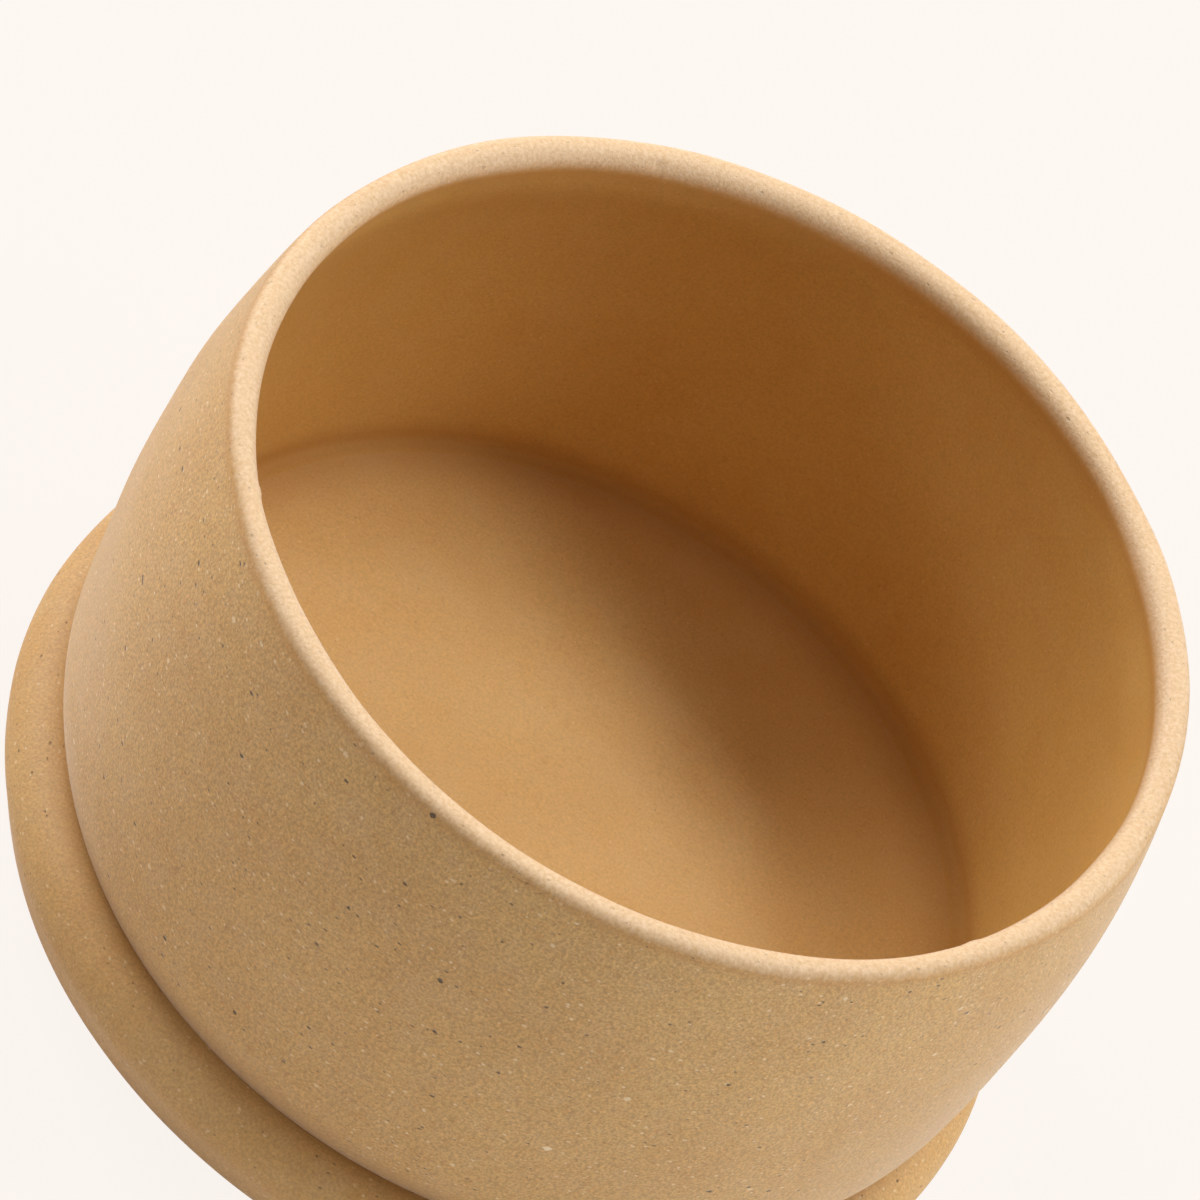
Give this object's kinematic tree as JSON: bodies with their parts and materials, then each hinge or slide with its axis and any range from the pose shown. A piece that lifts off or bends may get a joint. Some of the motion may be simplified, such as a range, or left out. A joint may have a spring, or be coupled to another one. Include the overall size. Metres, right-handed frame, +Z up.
{
  "type": "teacup",
  "caption": "Low, wide handleless teacup of unglazed sandy stoneware, with a gently swelling wall, a rounded lip and a thick rounded foot ring.",
  "frame": {"origin": "centre of the standing face, under the middle of the foot ring", "axes": "+Z up along the axis of the cup; the cup is round, so +X and +Y are free"},
  "size_m": [0.0876, 0.0876, 0.0493],
  "materials": {
    "stoneware": "matte, unglazed, fine sandy grain"
  },
  "bodies": {
    "root": {"foot_ring": "stoneware", "floor_disc": "stoneware", "corner_coil": "stoneware", "cup_wall": "stoneware"}
  },
  "joints": []
}
